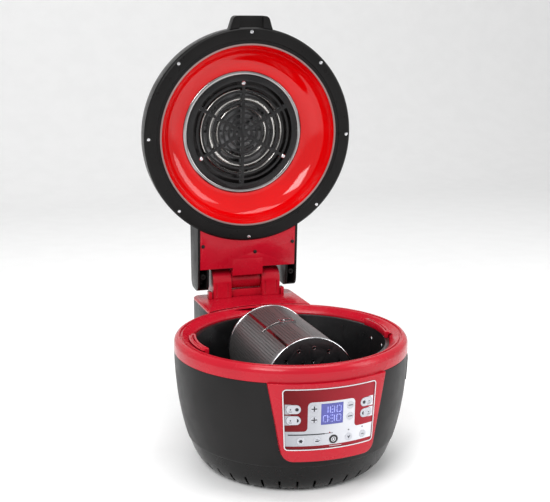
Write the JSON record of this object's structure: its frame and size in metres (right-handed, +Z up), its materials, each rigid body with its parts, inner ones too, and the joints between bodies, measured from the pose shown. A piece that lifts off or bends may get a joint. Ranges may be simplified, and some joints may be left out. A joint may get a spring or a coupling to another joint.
{
  "type": "deep fryer",
  "caption": "Lidded round countertop fryer with hinged heater lid, lift-out pot, rotating drum basket and a front key panel.",
  "frame": {"origin": "on the table under the centre of the round bowl", "axes": "+Z up, -Y to the front with the control panel, +X to the right seen from the front"},
  "size_m": [0.351, 0.4918, 0.6659],
  "materials": {
    "black_plastic": "satin moulded plastic",
    "red_plastic": "satin red moulded plastic",
    "foot_rubber": "matt rubber",
    "silver_trim": "silver lacquered trim",
    "panel_foil": "printed panel foil",
    "display_blue": "back-lit blue display behind a clear window",
    "circuit_board": "green solder mask",
    "galvanised_steel": "plain sheet steel",
    "non_stick_coating": "black non-stick coating on aluminium",
    "basket_steel": "dark perforated stainless sheet",
    "bright_steel": "polished steel",
    "black_steel": "black enamelled steel",
    "red_dish": "glossy heat-resistant red enamel",
    "seal_silicone": "translucent silicone",
    "element_steel": "oxidised heating tube",
    "fan_aluminium": "plain sheet aluminium",
    "fan_plastic": "moulded plastic",
    "key_silver": "silver printed key caps",
    "key_black": "black gloss key cap"
  },
  "bodies": {
    "housing": {"base_tray": "black_plastic", "feet": "foot_rubber", "body_shell": "black_plastic", "rear_housing": "black_plastic", "rim_ring": "red_plastic", "hinge_deck": "red_plastic", "hinge_towers": "red_plastic", "stop_posts": "red_plastic", "hinge_pin": "galvanised_steel", "panel_bezel": "red_plastic", "panel_trim": "silver_trim", "panel_overlay": "panel_foil", "display_window": "display_blue", "control_board": "circuit_board", "heat_shield": "galvanised_steel", "drive_motor": "galvanised_steel", "power_inlet": "black_plastic", "side_vent": "black_plastic"},
    "pot_body": {"pot": "non_stick_coating", "pot_grips": "red_plastic", "pot_rivets": "bright_steel", "front_bracket": "galvanised_steel", "rear_bush": "galvanised_steel"},
    "basket": {"basket_shell": "basket_steel", "basket_front_end": "non_stick_coating", "basket_rear_end": "non_stick_coating", "basket_rims": "bright_steel", "basket_spindle": "galvanised_steel"},
    "door": {"basket_door": "basket_steel"},
    "latch": {"basket_latch": "bright_steel"},
    "drive": {"drive_coupling": "galvanised_steel"},
    "lid": {"lid_dome": "black_plastic", "lid_ring": "black_plastic", "lid_screws": "bright_steel", "lid_dish": "red_dish", "dish_seal": "seal_silicone", "guard_trim": "bright_steel", "fan_guard": "black_steel", "heating_element": "element_steel", "fan_motor": "galvanised_steel", "lid_arm": "black_plastic", "arm_cover": "red_plastic", "arm_screws": "black_steel", "hinge_barrel": "red_plastic", "lid_handle": "black_plastic"},
    "fan": {"fan_impeller": "fan_aluminium", "cooling_fan": "fan_plastic"},
    "key_program_1_cap": {"key_program_1": "key_silver"},
    "key_program_2_cap": {"key_program_2": "key_silver"},
    "key_program_3_cap": {"key_program_3": "key_silver"},
    "key_program_4_cap": {"key_program_4": "key_silver"},
    "key_time_up_cap": {"key_time_up": "key_silver"},
    "key_temp_up_cap": {"key_temp_up": "key_silver"},
    "key_time_down_cap": {"key_time_down": "key_silver"},
    "key_temp_down_cap": {"key_temp_down": "key_silver"},
    "key_preset_1_cap": {"key_preset_1": "key_silver"},
    "key_preset_2_cap": {"key_preset_2": "key_silver"},
    "key_power_cap": {"key_power": "key_black"},
    "key_preset_3_cap": {"key_preset_3": "key_silver"},
    "key_preset_4_cap": {"key_preset_4": "key_silver"}
  },
  "joints": [
    {"name": "lid_hinge", "type": "hinge", "parent": "housing", "child": "lid", "pos_m": [0, 0.2496, 0.2249], "axis": [1, 0, 0], "range_deg": [0, 86.2]},
    {"name": "pot_lift", "type": "slide", "parent": "housing", "child": "pot_body", "axis": [0, 0, -1], "range_m": [-0.16, 0]},
    {"name": "basket_spin", "type": "hinge", "parent": "pot_body", "child": "basket", "pos_m": [0, 0, 0.145], "axis": [0, -1, 0], "continuous": true},
    {"name": "drive_spin", "type": "hinge", "parent": "housing", "child": "drive", "pos_m": [0, 0.16, 0.145], "axis": [0, -1, 0], "continuous": true},
    {"name": "door_hinge", "type": "hinge", "parent": "basket", "child": "door", "pos_m": [0.06648, 0, 0.15672], "axis": [0, -1, 0], "range_deg": [-55, 0]},
    {"name": "latch_hinge", "type": "hinge", "parent": "door", "child": "latch", "pos_m": [0.0062, 0.009, 0.21286], "axis": [0, -1, 0], "range_deg": [-80, 0]},
    {"name": "fan_spin", "type": "hinge", "parent": "lid", "child": "fan", "pos_m": [0, 0.20562, 0.47213], "axis": [0, 0.9978, 0.0663], "continuous": true},
    {"name": "key_program_1_press", "type": "slide", "parent": "housing", "child": "key_program_1_cap", "axis": [0.3024, 0.9532, 0], "range_m": [0, 0.0005], "stiffness_N_per_m": 600, "springref_m": -0.001},
    {"name": "key_program_2_press", "type": "slide", "parent": "housing", "child": "key_program_2_cap", "axis": [0.3024, 0.9532, 0], "range_m": [0, 0.0005], "stiffness_N_per_m": 600, "springref_m": -0.001},
    {"name": "key_program_3_press", "type": "slide", "parent": "housing", "child": "key_program_3_cap", "axis": [-0.3024, 0.9532, 0], "range_m": [0, 0.0005], "stiffness_N_per_m": 600, "springref_m": -0.001},
    {"name": "key_program_4_press", "type": "slide", "parent": "housing", "child": "key_program_4_cap", "axis": [-0.3024, 0.9532, 0], "range_m": [0, 0.0005], "stiffness_N_per_m": 600, "springref_m": -0.001},
    {"name": "key_time_up_press", "type": "slide", "parent": "housing", "child": "key_time_up_cap", "axis": [0.1461, 0.9893, 0], "range_m": [0, 0.0005], "stiffness_N_per_m": 600, "springref_m": -0.001},
    {"name": "key_temp_up_press", "type": "slide", "parent": "housing", "child": "key_temp_up_cap", "axis": [0.1461, 0.9893, 0], "range_m": [0, 0.0005], "stiffness_N_per_m": 600, "springref_m": -0.001},
    {"name": "key_time_down_press", "type": "slide", "parent": "housing", "child": "key_time_down_cap", "axis": [-0.153, 0.9882, 0], "range_m": [0, 0.0005], "stiffness_N_per_m": 600, "springref_m": -0.001},
    {"name": "key_temp_down_press", "type": "slide", "parent": "housing", "child": "key_temp_down_cap", "axis": [-0.153, 0.9882, 0], "range_m": [0, 0.0005], "stiffness_N_per_m": 600, "springref_m": -0.001},
    {"name": "key_preset_1_press", "type": "slide", "parent": "housing", "child": "key_preset_1_cap", "axis": [0.247, 0.969, 0], "range_m": [0, 0.0005], "stiffness_N_per_m": 600, "springref_m": -0.001},
    {"name": "key_preset_2_press", "type": "slide", "parent": "housing", "child": "key_preset_2_cap", "axis": [0.1167, 0.9932, 0], "range_m": [0, 0.0005], "stiffness_N_per_m": 600, "springref_m": -0.001},
    {"name": "key_power_press", "type": "slide", "parent": "housing", "child": "key_power_cap", "axis": [-0.0157, 0.9999, 0], "range_m": [0, 0.0005], "stiffness_N_per_m": 600, "springref_m": -0.001},
    {"name": "key_preset_3_press", "type": "slide", "parent": "housing", "child": "key_preset_3_cap", "axis": [-0.1478, 0.989, 0], "range_m": [0, 0.0005], "stiffness_N_per_m": 600, "springref_m": -0.001},
    {"name": "key_preset_4_press", "type": "slide", "parent": "housing", "child": "key_preset_4_cap", "axis": [-0.2773, 0.9608, 0], "range_m": [0, 0.0005], "stiffness_N_per_m": 600, "springref_m": -0.001}
  ],
  "couplings": [
    {"joint": "drive_spin", "follows": "basket_spin", "ratio": 1}
  ]
}
